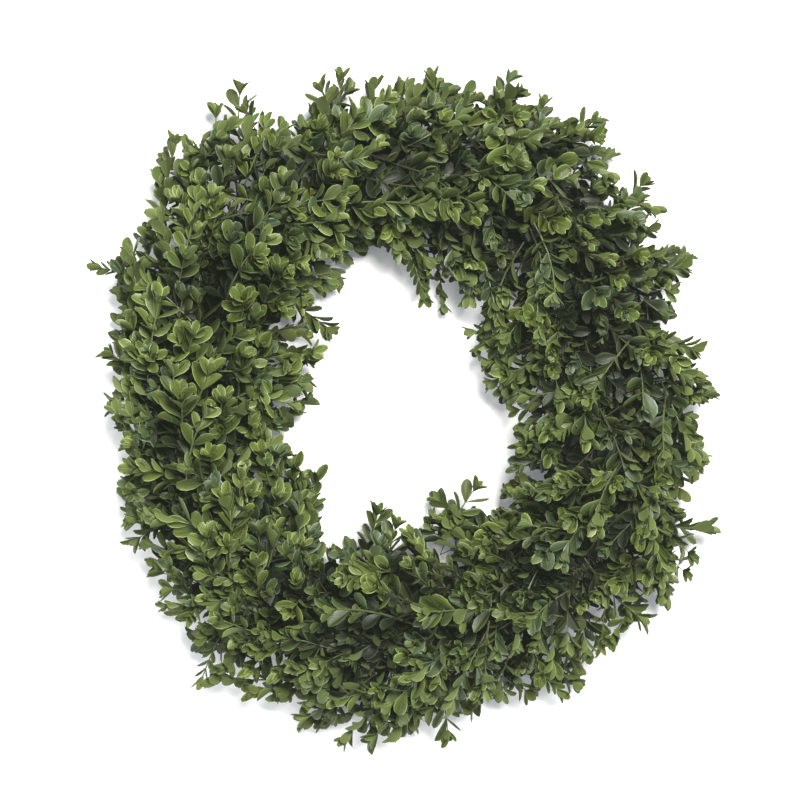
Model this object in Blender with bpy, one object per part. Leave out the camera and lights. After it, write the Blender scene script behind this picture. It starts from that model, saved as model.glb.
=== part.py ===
# Boxwood wreath, lying on its back with its face up.
# Bunches of boxwood are laid round a welded wire frame like shingles, three rows of them side by side,
# and bound to it with one length of wire. +Z points out of the face and +Y to the top of the wreath.
# The origin is on the surface that it lies on, under the middle of its box.

import math
import random

import bmesh
import bpy
import numpy as np
from mathutils import Matrix, Vector
from mathutils.bvhtree import BVHTree

# Driving dimensions, in metres, and in degrees where the name says so.

# The wire frame, which the whole wreath is built on
FRAME_RADIUS = 0.199         # to the middle of its band of ring wires
FRAME_BAND = 0.054           # from the innermost ring wire to the outermost
FRAME_WIRE = 0.0032          # diameter
FRAME_DISH = 0.012           # the edge ring wires lie this much higher than the middle ones
RING_WIRES = 4
CROSS_WIRES = 5
WELD_DEPTH = 0.0005          # how far a ring wire sinks into a cross wire
CROSS_BEND = 0.002           # a cross wire's bends lie this far outside the middle ring wires
CROSS_END = 0.001            # and its ends this far outside the edge ring wires

# The binding wire, and how far apart two pieces stay
BINDING_WIRE = 0.0009        # diameter
WRAP_ADVANCE = 0.005         # how far one turn of it moves on round the ring
WRAP_FLAT = 0.0110           # half of its flat stretch under the frame
WRAP_EDGE = (0.0293, 0.0112)         # its corners round the section, as offset and height: by the frame
WRAP_SHOULDER = (0.0304, 0.0220)     # beside the stems
WRAP_TOP = (0.0140, 0.0252)          # over them
GAP = 0.00035                # between pieces that touch
CLEAR = 0.0006               # between a leaf and another bunch

# The ties: each holds one bunch in each row
TIES = 15
STEM = 0.0042                # diameter of a woody stem
SHOOT = 0.0026               # and of a long green shoot
STEM_TAIL = 0.15             # how far its cut end stands out past the tie, in ties
STEM_LIES = 0.5              # how far it lies along the frame after the tie, in ties
STEM_ENDS = 0.95             # where it ends inside the bunch, in ties
STEM_RISE = 0.011            # how far into its core it reaches

# The edges of the foliage, as distances from the middle of the ring
OUTER_REACH = 0.291          # mean
OUTER_TALLER = 0.0155        # it is taller than wide by four times this, along an axis turned so far
OUTER_TURN_DEG = 97.5
OUTER_SQUARE = 0.0075        # and fuller at its four corners
OUTER_CORNER_DEG = 55.0
HOLE_REACH = 0.105           # mean
HOLE_TALLER = 0.0125
HOLE_TURN_DEG = 97.0
HOLE_CORNERS = 0.0125        # the hole is drawn out at three corners
HOLE_CORNER_DEG = 98.0
HOLE_SHIFT = -0.005          # to the left
FACE_HEIGHT = 0.113          # top of the foliage above the surface

# The bunches, round the line that their rows are set about, at the height of the edge ring wires
AXIS_HEIGHT = 0.0165
TUBE_HALF_WIDTH = 0.0385     # the space round the frame that stems and binding wire fill
TUBE_HEIGHT = 0.0158
LEAF_STAND = 0.029           # how far the leaves stand out of a bunch's core
CORE_SHARE = 0.42            # of the space outside the stems, where the foliage is thin
CORE_START = 0.4             # where a core starts after its tie, in ties
CORE_LEAN = 1.0              # how far it leans on for each unit of height
CORE_GAP = 0.0032            # between one core and the next along the ring
CORE_GAP_DEG = 2.0           # and at each side, to the core in the next row
CORE_UNEVEN = 0.08           # cores differ in height by this share

# A leaf blade, larger than life: a spoon-shaped outline folded up along its midrib
LEAF_LENGTH = 0.055
LEAF_WIDTH = 0.60            # of its length
LEAF_THICK = 0.0010
LEAF_SINK = 0.0045           # how deep its root is in the core or the shoot
LEAF_WIDEST = 0.62           # of the way along
LEAF_TIP = 0.46              # width of its blunt tip, of its width
LEAF_FOLD = 0.14             # rise of its widest place's edges, of its width
ROOT_INSIDE = 0.001          # a leaf whose root isn't so far inside the core is left out
ROOT_APART = 0.004           # from the roots of a pair to the middle between them
SHOOT_SINK = 0.0005          # how deep a leaf's root is in the end of a long shoot
LEAF_SIZES = (0.84, 1.12)    # smallest and largest, of its length
LEAF_ROOM = (0.7, 1.1)       # how much of the room over its root its tip uses
LEAF_RISE = (0.1, 0.9)       # sine of the least and the most that it rises
LEAF_OWN = (0.3, 0.9)        # from here on, and so wide, it stays clear of its own bunch's leaves
LEAF_SPREAD_DEG = 42.0       # between a leaf of a pair and its shoot
LEAF_TURNS_DEG = 24.0        # how far a leaf may turn from its place
LEAF_ROLLS_DEG = 24.0
LEAF_TRIES = 28              # places tried for a leaf before it is left out
LEAF_SMALLEST = 0.62         # of its size, at the last of them
LEAF_FLOOR = 0.0012          # no leaf reaches lower
SEED = 11

# The rows: where each lies round the section, where its stems lie on the frame, as offset, height and
# the turn at which they end, and its sprigs, each by its turn and the leaves that its joints carry
ROWS = {
    "outer": {"from": -8.0, "to": 60.0, "stem": (0.0255, 0.0194, 8.0),
              "sprigs": ((4.0, (2, 2, 2)), (38.0, (2, 1, 2)))},
    "face": {"from": 60.0, "to": 120.0, "stem": (0.0019, 0.0226, 84.0),
             "sprigs": ((75.0, (2, 2)), (105.0, (2, 2)))},
    "inner": {"from": 120.0, "to": 188.0, "stem": (-0.0255, 0.0194, 165.0),
              "sprigs": ((140.0, (2, 1)), (172.0, (2, 1)))},
}
SPRIG_TURNS_DEG = 4.0        # how far a joint may be off its place round the section
SPRIG_SHIFTS = 0.12          # and along, in ties

# Where a longer shoot stands out past the rest, by its angle round the ring, and by how much, and its
# leaves, each by how far along the shoot it grows and its turn
LONG_SHOOTS = {
    "outer": ((155.0, 0.020), (117.0, 0.024), (56.0, 0.012), (27.0, 0.010), (3.0, 0.016), (-21.0, 0.018),
              (-82.0, 0.016), (-126.0, 0.020)),
    "inner": ((132.0, 0.016), (52.0, 0.016), (-44.0, 0.012)),
}
SHOOT_LEAVES = ((1.0, 18.0), (1.0, -18.0), (0.55, 48.0), (0.55, -48.0))
SHOOT_HEIGHTS = (0.030, 0.060)       # of its tip
SHOOT_FROM = (0.1, 0.3)              # how far back round the ring it points from
SHOOT_FROM_HEIGHT = 0.045
SHOOT_TURNS_DEG = 4.0                # how far it may be off its place
SHOOT_LEAF = 0.034                   # length of its leaves
SHOOT_TIP = 0.95                     # share of it that the last ones reach past its tip
SHOOT_ROOM = 0.010                   # its leaves rise so far
SHOOT_TRIES = 30

LEAF_GREEN = (0.075, 0.135, 0.040, 1.0)
WIRE_GREEN = (0.020, 0.070, 0.035, 1.0)
FRAME_GREEN = (0.030, 0.085, 0.045, 1.0)

# What follows from them
PITCH = math.tau / TIES
SQUARE_SECTION = math.sqrt(math.pi / 2)     # a four-sided wire with a round one's section
FLAT = 1 / math.sqrt(2)                     # from its middle to a flat, of that to a corner
FRAME_CORNER = FRAME_WIRE / 2 * SQUARE_SECTION
CROSS_HEIGHT = FRAME_CORNER * FLAT
RING_HEIGHT = CROSS_HEIGHT + 2 * FRAME_CORNER * FLAT - WELD_DEPTH
TOP_REACH = FACE_HEIGHT - AXIS_HEIGHT

draw = random.Random(SEED)


def clear_scene():
    for thing in list(bpy.context.scene.objects):
        bpy.data.objects.remove(thing, do_unlink=True)


def new_collection(name):
    collection = bpy.data.collections.new(name)
    bpy.context.scene.collection.children.link(collection)
    return collection


def make_material(name, colour, roughness, metallic=0.0):
    material = bpy.data.materials.new(name)
    material.use_nodes = True
    shader = material.node_tree.nodes["Principled BSDF"]
    shader.inputs["Base Color"].default_value = colour
    shader.inputs["Roughness"].default_value = roughness
    shader.inputs["Metallic"].default_value = metallic
    return material


def at(angle, offset, height):
    """A point by its angle round the ring, its offset from the middle of the frame's band and its height."""
    radius = FRAME_RADIUS + offset
    return Vector((radius * math.cos(angle), radius * math.sin(angle), height))


# Forms of the foliage

def outer_reach(angle):
    taller = OUTER_TALLER * math.cos(2 * (angle - math.radians(OUTER_TURN_DEG)))
    square = OUTER_SQUARE * math.cos(4 * (angle - math.radians(OUTER_CORNER_DEG)))
    return OUTER_REACH + taller + square


def hole_reach(angle):
    taller = HOLE_TALLER * math.cos(2 * (angle - math.radians(HOLE_TURN_DEG)))
    corners = HOLE_CORNERS * math.cos(3 * (angle - math.radians(HOLE_CORNER_DEG)))
    return HOLE_REACH + taller + corners + HOLE_SHIFT * math.cos(angle)


def oval(turn, half_width, half_height, fullness):
    """How far an oval reaches at a turn: an ellipse at fullness 2, and squarer above it."""
    across = abs(math.cos(turn) / half_width) ** fullness
    up = abs(math.sin(turn) / half_height) ** fullness
    return (across + up) ** (-1 / fullness)


def leaf_reach(angle, turn):
    """How far the leaves reach from the rows' line, by the angle round the ring and round the section."""
    side = outer_reach(angle) - FRAME_RADIUS if math.cos(turn) > 0 else FRAME_RADIUS - hole_reach(angle)
    return oval(turn, side, TOP_REACH, 2)


def tube_reach(turn):
    return oval(turn, TUBE_HALF_WIDTH, TUBE_HEIGHT, 3)


def core_reach(angle, turn):
    inside, outside = tube_reach(turn), leaf_reach(angle, turn)
    return max(outside - LEAF_STAND, inside + CORE_SHARE * (outside - inside))


def on_section(angle, turn, reach):
    return at(angle, reach * math.cos(turn), AXIS_HEIGHT + reach * math.sin(turn))


def core_angle(tie, along, reach, turn):
    """Round the ring, clockwise from the tie: cores lean on, so each covers the stems of the one before."""
    lean = CORE_LEAN * (reach - tube_reach(turn)) / FRAME_RADIUS
    return (tie - CORE_START - along) * PITCH - lean


# Wires

def make_wire(name, points, diameter, material, collection, closed=False):
    """A wire along the points, four-sided, with a flat down, as a mesh with its ends closed."""
    curve = bpy.data.curves.new(name, "CURVE")
    curve.dimensions = "3D"
    curve.twist_mode = "Z_UP"
    curve.bevel_depth = diameter / 2 * SQUARE_SECTION
    curve.bevel_resolution = 0
    curve.use_fill_caps = not closed
    spline = curve.splines.new("POLY")
    spline.points.add(len(points) - 1)
    for place, point in zip(spline.points, points):
        place.co = (*point, 1.0)
        place.tilt = math.radians(45)
    spline.use_cyclic_u = closed
    bent = bpy.data.objects.new(name, curve)
    bpy.context.scene.collection.objects.link(bent)
    bpy.context.view_layer.update()
    evaluated = bent.evaluated_get(bpy.context.evaluated_depsgraph_get())
    mesh = bpy.data.meshes.new_from_object(evaluated)
    bpy.data.objects.remove(bent)
    form = bmesh.new()
    form.from_mesh(mesh)
    bmesh.ops.remove_doubles(form, verts=form.verts, dist=0.00001)
    face_outwards(form)
    return finish_form(form, name, material, collection)


def face_outwards(form):
    bmesh.ops.recalc_face_normals(form, faces=form.faces)
    if form.calc_volume(signed=True) < 0:
        bmesh.ops.reverse_faces(form, faces=form.faces)


def finish_form(form, name, material, collection):
    mesh = bpy.data.meshes.new(name)
    form.to_mesh(mesh)
    form.free()
    mesh.materials.clear()
    mesh.materials.append(material)
    made = bpy.data.objects.new(name, mesh)
    collection.objects.link(made)
    return made


def join(base, pieces, name):
    """One solid of the base and the pieces, which a Boolean union on their collection makes."""
    union = base.modifiers.new("join", "BOOLEAN")
    union.operation = "UNION"
    union.operand_type = "COLLECTION"
    union.collection = pieces
    union.solver = "MANIFOLD"
    bpy.context.view_layer.update()
    evaluated = base.evaluated_get(bpy.context.evaluated_depsgraph_get())
    mesh = bpy.data.meshes.new_from_object(evaluated)
    base.modifiers.remove(union)
    for piece in list(pieces.objects):
        bpy.data.objects.remove(piece, do_unlink=True)
    form = bmesh.new()
    form.from_mesh(mesh)
    bmesh.ops.remove_doubles(form, verts=form.verts, dist=0.00001)
    bmesh.ops.triangulate(form, faces=form.faces)
    form.to_mesh(base.data)
    form.free()
    base.name = name
    return base


def make_frame(collection, pieces, material):
    """The ring wires on bent cross wires, welded where they meet. The cross wires' flats are its feet."""
    half_band = FRAME_BAND / 2
    spacing = FRAME_BAND / (RING_WIRES - 1)
    offsets = [spacing * k - half_band for k in range(RING_WIRES)]
    for k, offset in enumerate(offsets):
        height = RING_HEIGHT + (FRAME_DISH if k in (0, RING_WIRES - 1) else 0.0)
        corners = [at(PITCH / 2 * step, offset, height) for step in range(2 * TIES)]
        make_wire(f"ring_{k}", corners, FRAME_WIRE, material, pieces, closed=True)
    bend = offsets[-2] + CROSS_BEND
    end = half_band + CROSS_END
    edge_height = RING_HEIGHT + FRAME_DISH - 2 * CROSS_HEIGHT + WELD_DEPTH
    for k in range(CROSS_WIRES):
        angle = math.tau * (k + 0.25) / CROSS_WIRES
        route = ((-end, edge_height), (-bend, CROSS_HEIGHT), (bend, CROSS_HEIGHT), (end, edge_height))
        make_wire(f"cross_{k}", [at(angle, *corner) for corner in route], FRAME_WIRE, material, pieces)
    base = pieces.objects["ring_0"]
    pieces.objects.unlink(base)
    collection.objects.link(base)
    return join(base, pieces, "wire_frame")


def make_binding(collection, material):
    """Turns round the frame and the stems at each tie, carried on from one to the next on the hole's side."""
    under = RING_HEIGHT - FRAME_CORNER * FLAT - GAP - BINDING_WIRE / 2
    outer_half = [(WRAP_FLAT, under), WRAP_EDGE, WRAP_SHOULDER, WRAP_TOP]
    top, shoulder, edge, flat = [(-offset, height) for offset, height in reversed(outer_half)]
    turn = [edge, flat, *outer_half, top, shoulder, edge]
    advance = WRAP_ADVANCE / FRAME_RADIUS
    route = []
    for tie in range(TIES):
        for k, (offset, height) in enumerate(turn):
            share = k / (len(turn) - 1) - 0.5
            route.append(at(tie * PITCH + advance * share, offset, height))
    return make_wire("binding_wire", route, BINDING_WIRE, material, collection)


# Leaves and bunches

def make_blade(length, width, thick):
    """A blade along +X from its root, its face up, as a bmesh: narrow at the root, wide and blunt beyond."""
    form = bmesh.new()
    corners = bmesh.ops.create_circle(form, cap_ends=True, radius=1.0, segments=5)["verts"]
    root, right, tip_right, tip_left, left = corners
    root.co = (0, 0, 0)
    for vert, along, across, rise in ((left, LEAF_WIDEST, 1, LEAF_FOLD), (tip_left, 1, LEAF_TIP, 0),
                                      (tip_right, 1, -LEAF_TIP, 0), (right, LEAF_WIDEST, -1, LEAF_FOLD)):
        vert.co = (along * length, across * width / 2, rise * width)
    bmesh.ops.connect_verts(form, verts=[left, right])
    bmesh.ops.connect_verts(form, verts=[left, tip_right])
    bmesh.ops.solidify(form, geom=form.faces, thickness=thick)
    bmesh.ops.triangulate(form, faces=form.faces)
    face_outwards(form)
    return form


class Solids:
    """Every solid set so far, to keep a new leaf clear of them."""

    def __init__(self):
        self.owners = []
        self.lows = np.empty((0, 3))
        self.highs = np.empty((0, 3))
        self.trees = []

    def add(self, owner, verts, faces):
        points = np.array([tuple(vert) for vert in verts])
        self.owners.append(owner)
        self.lows = np.vstack([self.lows, points.min(axis=0)])
        self.highs = np.vstack([self.highs, points.max(axis=0)])
        self.trees.append(BVHTree.FromPolygons([tuple(vert) for vert in verts], faces))

    def meets(self, owner, verts, faces, own):
        """Whether the shape meets one of the owner's own solids, or else one of the others'."""
        points = np.array([tuple(vert) for vert in verts])
        near = np.all((self.lows <= points.max(axis=0)) & (self.highs >= points.min(axis=0)), axis=1)
        tree = BVHTree.FromPolygons([tuple(vert) for vert in verts], faces)
        return any((self.owners[k] == owner) == own and tree.overlap(self.trees[k])
                   for k in np.nonzero(near)[0])


def shape_of(form):
    form.verts.index_update()
    return [vert.co.copy() for vert in form.verts], [[v.index for v in face.verts] for face in form.faces]


def mesh_shape(mesh):
    return [vert.co.copy() for vert in mesh.vertices], [list(face.vertices) for face in mesh.polygons]


def make_core(name, tie, row, material, collection):
    """The dense inside of a bunch: a block between its neighbours, leaning on round the ring."""
    form = bmesh.new()
    bmesh.ops.create_cube(form, size=1.0)
    lines = [edge for edge in form.edges
             if abs(edge.verts[0].co.z - edge.verts[1].co.z) < 0.5]
    bmesh.ops.subdivide_edges(form, edges=lines, cuts=1, use_grid_fill=True)
    low, high = (math.radians(ROWS[row][end]) for end in ("from", "to"))
    side = math.radians(CORE_GAP_DEG)
    uneven = 1 + draw.uniform(-CORE_UNEVEN, CORE_UNEVEN)
    for vert in form.verts:
        along, across, up = (value + 0.5 for value in vert.co)
        turn = low + side + (high - low - 2 * side) * across
        inside = tube_reach(turn)
        middle = (tie - CORE_START - along) * PITCH
        reach = inside + (core_reach(middle, turn) - inside) * up * uneven
        angle = core_angle(tie, along, reach, turn)
        radius = FRAME_RADIUS + reach * math.cos(turn)
        angle += (along - 0.5) * CORE_GAP / radius
        vert.co = on_section(angle, turn, reach)
    bmesh.ops.triangulate(form, faces=form.faces)
    face_outwards(form)
    return finish_form(form, name, material, collection)


def stem_route(tie, row):
    """A bunch's woody stems, as one: they lie along the frame under the tie, then rise into the core."""
    offset, height, turn_deg = ROWS[row]["stem"]
    turn = math.radians(turn_deg)
    return [at((tie + STEM_TAIL) * PITCH, offset, height),
            at((tie - STEM_LIES) * PITCH, offset, height),
            on_section((tie - STEM_ENDS) * PITCH, turn, tube_reach(turn) + STEM_RISE)]


def directions(angle, turn):
    """At a place on the foliage: clockwise along the ring, and straight out of the section."""
    ahead = Vector((math.sin(angle), -math.cos(angle), 0))
    face = Vector((math.cos(turn) * math.cos(angle), math.cos(turn) * math.sin(angle), math.sin(turn)))
    return ahead, face


def leaf_sites(core, tie, row):
    """A bunch's leaves: root, the way the sprig runs, its upper side, turn, room above it and length."""
    verts, faces = mesh_shape(core.data)
    surface = BVHTree.FromPolygons(verts, faces)
    for turn_deg, joints in ROWS[row]["sprigs"]:
        for k, count in enumerate(joints):
            turn = math.radians(turn_deg + draw.uniform(-SPRIG_TURNS_DEG, SPRIG_TURNS_DEG))
            along = (k + 0.5 + draw.uniform(-SPRIG_SHIFTS, SPRIG_SHIFTS)) / len(joints)
            reach = core_reach((tie - CORE_START - along) * PITCH, turn)
            angle = core_angle(tie, along, reach, turn)
            ahead, face = directions(angle, turn)
            room = leaf_reach(angle, turn) - reach
            across = face.cross(ahead)
            for side in ((1, -1) if count == 2 else (0,)):
                above = on_section(angle, turn, reach + LEAF_STAND) + across * side * ROOT_APART
                ground = surface.ray_cast(above, -face)[0]
                if ground is None:
                    continue
                root = ground - face * LEAF_SINK
                wall, outwards = surface.find_nearest(root)[:2]
                if (wall - root).dot(outwards) > ROOT_INSIDE:
                    yield root, ahead, face, side * LEAF_SPREAD_DEG, room, LEAF_LENGTH


def make_leaf(solids, owner, site, material, collection):
    """Sets a leaf at its site, trying turns and sizes until it is clear of the rest, or leaves it out."""
    root, ahead, face, spread_deg, room, full_length = site
    across = face.cross(ahead)
    for tried in range(LEAF_TRIES):
        smaller = 1 - (1 - LEAF_SMALLEST) * tried / LEAF_TRIES
        length = full_length * draw.uniform(*LEAF_SIZES) * smaller
        width = LEAF_WIDTH * length
        turned = math.radians(spread_deg + draw.uniform(-LEAF_TURNS_DEG, LEAF_TURNS_DEG))
        least, most = LEAF_RISE
        rise = math.asin(min(most, max(least, room * draw.uniform(*LEAF_ROOM) / length)))
        flat = ahead * math.cos(turned) + across * math.sin(turned)
        along = flat * math.cos(rise) + face * math.sin(rise)
        up = (face - along * face.dot(along)).normalized()
        up.rotate(Matrix.Rotation(math.radians(draw.uniform(-LEAF_ROLLS_DEG, LEAF_ROLLS_DEG)), 3, along))
        turn = Matrix((along, up.cross(along), up)).transposed().to_4x4()
        place = Matrix.Translation(root) @ turn
        blade = make_blade(length, width, LEAF_THICK)
        blade.transform(place)
        verts, faces = shape_of(blade)
        guard = make_blade(length + CLEAR, width + 3 * CLEAR, LEAF_THICK + 2 * CLEAR)
        guard.transform(place @ Matrix.Translation((0, 0, CLEAR)))
        guard_verts, guard_faces = shape_of(guard)
        guard.free()
        own_from, own_width = LEAF_OWN
        bare = make_blade(length * (1 - own_from), width * own_width, LEAF_THICK)
        bare.transform(place @ Matrix.Translation((length * own_from, 0, 0)))
        bare_verts, bare_faces = shape_of(bare)
        bare.free()
        low = min(vert.z for vert in guard_verts)
        if (low < LEAF_FLOOR or solids.meets(owner, guard_verts, guard_faces, own=False)
                or solids.meets(owner, bare_verts, bare_faces, own=True)):
            blade.free()
            continue
        solids.add(owner, verts, faces)
        finish_form(blade, "leaf", material, collection)
        return


def make_shoot(solids, bunches, row, angle_deg, past, material):
    """A long shoot from the core behind it, and the sites of its leaves."""
    outwards = 1 if row == "outer" else -1
    for tried in range(SHOOT_TRIES):
        angle = math.radians(angle_deg + draw.uniform(-SHOOT_TURNS_DEG, SHOOT_TURNS_DEG))
        edge = outer_reach(angle) if row == "outer" else hole_reach(angle)
        far = edge + outwards * (past - SHOOT_LEAF * SHOOT_TIP) - FRAME_RADIUS
        tip = at(angle, far, draw.uniform(*SHOOT_HEIGHTS))
        ahead = (tip - at(angle + draw.uniform(*SHOOT_FROM), 0.0, SHOOT_FROM_HEIGHT)).normalized()
        found = None
        for name, core, grown, tie, of_row in bunches:
            if of_row != row:
                continue
            ground = BVHTree.FromPolygons(*mesh_shape(core.data)).ray_cast(tip, -ahead)[0]
            if ground is not None and (found is None or (tip - ground).length < (tip - found[0]).length):
                found = (ground, name, grown)
        if found is None:
            continue
        ground, name, grown = found
        shoot = make_wire("shoot", [ground - ahead * LEAF_SINK, tip], SHOOT, material, grown)
        if solids.meets(name, *mesh_shape(shoot.data), own=False):
            bpy.data.objects.remove(shoot)
            continue
        solids.add(name, *mesh_shape(shoot.data))
        face = (Vector((0, 0, 1)) - ahead * ahead.z).normalized()
        roots = [(ground.lerp(tip, along) - ahead * SHOOT_SINK, spread) for along, spread in SHOOT_LEAVES]
        return [(name, grown, (root, ahead, face, spread, SHOOT_ROOM, SHOOT_LEAF)) for root, spread in roots]
    return []


def stand_on_origin(collection):
    """Moves everything so that the origin is under the middle of its box."""
    middle = bpy.data.objects.new("wreath_middle", None)
    collection.objects.link(middle)
    points = np.array([vert.co for made in collection.objects if made.type == "MESH"
                       for vert in made.data.vertices])
    low, high = points.min(axis=0), points.max(axis=0)
    for made in collection.objects:
        if made != middle:
            made.parent = middle
    middle.location = (-(low[0] + high[0]) / 2, -(low[1] + high[1]) / 2, -low[2])


def main():
    clear_scene()
    wreath = new_collection("boxwood_wreath")
    pieces = new_collection("pieces")
    leaf = make_material("boxwood_leaf", LEAF_GREEN, 0.45)
    frame_paint = make_material("frame_paint", FRAME_GREEN, 0.40)
    wire_paint = make_material("wire_paint", WIRE_GREEN, 0.40)
    solids = Solids()
    for made in (make_frame(wreath, pieces, frame_paint), make_binding(wreath, wire_paint)):
        solids.add(made.name, *mesh_shape(made.data))
    bunches = []
    for row in ROWS:
        for tie in range(TIES):
            name = f"bunch_{row}_{tie + 1:02d}"
            grown = new_collection(name + "_growth")
            core = make_core(name, tie, row, leaf, wreath)
            solids.add(name, *mesh_shape(core.data))
            stem = make_wire("stem", stem_route(tie, row), STEM, leaf, grown)
            solids.add(name, *mesh_shape(stem.data))
            bunches.append((name, core, grown, tie, row))
    long_sites = [site for row, places in LONG_SHOOTS.items() for angle_deg, past in places
                  for site in make_shoot(solids, bunches, row, angle_deg, past, leaf)]
    sites = [(name, grown, site) for name, core, grown, tie, row in bunches
             for site in leaf_sites(core, tie, row)]
    draw.shuffle(sites)
    sites = long_sites + sites
    for name, grown, site in sites:
        make_leaf(solids, name, site, leaf, grown)
    for name, core, grown, tie, row in bunches:
        join(core, grown, name)
        bpy.data.collections.remove(grown)
    bpy.data.collections.remove(pieces)
    stand_on_origin(wreath)


main()
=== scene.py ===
# Boxwood wreath, lying on its back with its face up, as its maker puts it together: the frame, the leaves,
# the sprigs that carry them, the bunches of sprigs, the wire that binds them, and the table they lie on.
import math
import random

import bmesh
import bpy
import numpy as np
from mathutils import Matrix, Vector


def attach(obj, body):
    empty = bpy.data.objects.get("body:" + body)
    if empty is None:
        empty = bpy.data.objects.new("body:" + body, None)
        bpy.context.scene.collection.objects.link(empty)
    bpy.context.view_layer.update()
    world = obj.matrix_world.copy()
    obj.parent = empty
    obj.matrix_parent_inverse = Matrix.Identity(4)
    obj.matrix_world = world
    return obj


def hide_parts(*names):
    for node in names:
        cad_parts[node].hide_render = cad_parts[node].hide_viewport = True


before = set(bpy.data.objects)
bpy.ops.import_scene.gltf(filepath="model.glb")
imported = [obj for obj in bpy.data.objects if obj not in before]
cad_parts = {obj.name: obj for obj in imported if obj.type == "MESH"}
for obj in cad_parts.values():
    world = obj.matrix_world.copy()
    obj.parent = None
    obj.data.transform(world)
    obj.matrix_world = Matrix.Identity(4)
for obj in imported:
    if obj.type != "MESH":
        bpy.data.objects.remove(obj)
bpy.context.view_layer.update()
draw = random.Random(5)

# The wire frame. Four rings of steel wire, the two at the edges raised, are spot-welded to five cross
# wires that are bent up at both ends. It is dipped in dark green paint, which is worn bare in small chips.

frame_wire = 0.0032
frame_radius = 0.199
ring_offsets = (-0.027, -0.009, 0.009, 0.027)
frame_dish = 0.012
cross_wires = 5
first_cross_wire = 0.25
worn_flat, weld_depth, end_weld_depth = 0.0002, 0.0008, 0.0006
cross_height = frame_wire / 2 - worn_flat
ring_height = cross_height + frame_wire - weld_depth
end_height = ring_height + frame_dish - frame_wire + end_weld_depth
half_bend = ((0.010, cross_height), (0.013, cross_height + 0.001), (0.020, end_height - 0.0055),
             (0.028, end_height))
tie_count = 15
tie_pitch = math.tau / tie_count
frame_corners = [corner.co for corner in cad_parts["wire_frame"].data.vertices]
frame_middle = sum(frame_corners, Vector()) / len(frame_corners)
frame_middle.z = 0.0


def at(angle, offset, height):
    """A place by its angle round the ring, its offset from the middle of the band and its height."""
    radius = frame_radius + offset
    return frame_middle + Vector((radius * math.cos(angle), radius * math.sin(angle), height))


def bend_wires(name, routes, diameter, sides=6, taper=1.0, smooth=True):
    """One mesh of round wires or twigs, each along its own route and with four sides or more."""
    bpy.ops.curve.primitive_nurbs_path_add(location=(0, 0, 0))
    made = bpy.context.object
    made.name = name
    line = made.data
    line.splines.clear()
    line.bevel_depth = diameter / 2
    line.bevel_resolution = max(0, sides // 2 - 2)
    line.use_fill_caps = True
    line.resolution_u = 3
    for route in routes:
        spline = line.splines.new("NURBS" if smooth else "POLY")
        spline.points.add(len(route) - 1)
        for k, place in enumerate(route):
            spline.points[k].co = (*place, 1.0)
            spline.points[k].radius = 1 + (taper - 1) * k / (len(route) - 1)
        if smooth:
            spline.order_u = 3
            spline.use_endpoint_u = True
    bpy.ops.object.convert(target="MESH")
    bpy.ops.object.mode_set(mode="EDIT")
    bpy.ops.mesh.select_all(action="SELECT")
    bpy.ops.mesh.remove_doubles(threshold=0.00001)
    bpy.ops.mesh.normals_make_consistent(inside=False)
    bpy.ops.object.mode_set(mode="OBJECT")
    bpy.ops.object.shade_smooth_by_angle(angle=math.radians(50))
    return bpy.context.object


def join_pieces(name, pieces):
    """All the pieces as one, at the origin."""
    bpy.ops.object.select_all(action="DESELECT")
    for piece in pieces:
        piece.select_set(True)
    bpy.context.view_layer.objects.active = pieces[0]
    bpy.ops.object.join()
    bpy.ops.object.transform_apply(location=True, rotation=True, scale=True)
    whole = bpy.context.object
    whole.name = name
    whole.data.name = name
    return whole


bpy.ops.object.select_all(action="DESELECT")
frame_pieces = []
for offset in ring_offsets:
    raised = frame_dish if offset in (ring_offsets[0], ring_offsets[-1]) else 0.0
    bpy.ops.mesh.primitive_torus_add(location=frame_middle + Vector((0, 0, ring_height + raised)),
                                     major_radius=frame_radius + offset, minor_radius=frame_wire / 2,
                                     major_segments=120, minor_segments=10)
    bpy.ops.object.shade_smooth()
    frame_pieces.append(bpy.context.object)
bent = [(-offset, height) for offset, height in reversed(half_bend)] + list(half_bend)
for k in range(cross_wires):
    angle = math.tau * (k + first_cross_wire) / cross_wires
    frame_pieces.append(bend_wires("cross_wire", [[at(angle, *corner) for corner in bent]], frame_wire, 10))
wire_frame = join_pieces("wreath_frame", frame_pieces)

frame_paint = bpy.data.materials.new("frame_paint_dark_green")
frame_paint.use_nodes = True
nodes, links = frame_paint.node_tree.nodes, frame_paint.node_tree.links
paint = nodes["Principled BSDF"]
where = nodes.new("ShaderNodeTexCoord")
chips = nodes.new("ShaderNodeTexNoise")
chips.inputs["Scale"].default_value = 160.0
chips.inputs["Detail"].default_value = 6.0
links.new(where.outputs["Object"], chips.inputs["Vector"])
worn = nodes.new("ShaderNodeValToRGB")
worn.color_ramp.elements[0].position = 0.34
worn.color_ramp.elements[0].color = (0.11, 0.085, 0.065, 1)
worn.color_ramp.elements[1].position = 0.40
worn.color_ramp.elements[1].color = (0.018, 0.060, 0.030, 1)
links.new(chips.outputs["Fac"], worn.inputs["Fac"])
links.new(worn.outputs["Color"], paint.inputs["Base Color"])
rough = nodes.new("ShaderNodeMapRange")
rough.inputs["To Min"].default_value = 0.65
rough.inputs["To Max"].default_value = 0.28
links.new(chips.outputs["Fac"], rough.inputs["Value"])
links.new(rough.outputs["Result"], paint.inputs["Roughness"])
skin = nodes.new("ShaderNodeBump")
skin.inputs["Strength"].default_value = 0.2
skin.inputs["Distance"].default_value = 0.0004
links.new(chips.outputs["Fac"], skin.inputs["Height"])
links.new(skin.outputs["Normal"], paint.inputs["Normal"])
wire_frame.data.materials.clear()
wire_frame.data.materials.append(frame_paint)
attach(wire_frame, "root")
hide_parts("wire_frame")

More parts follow.
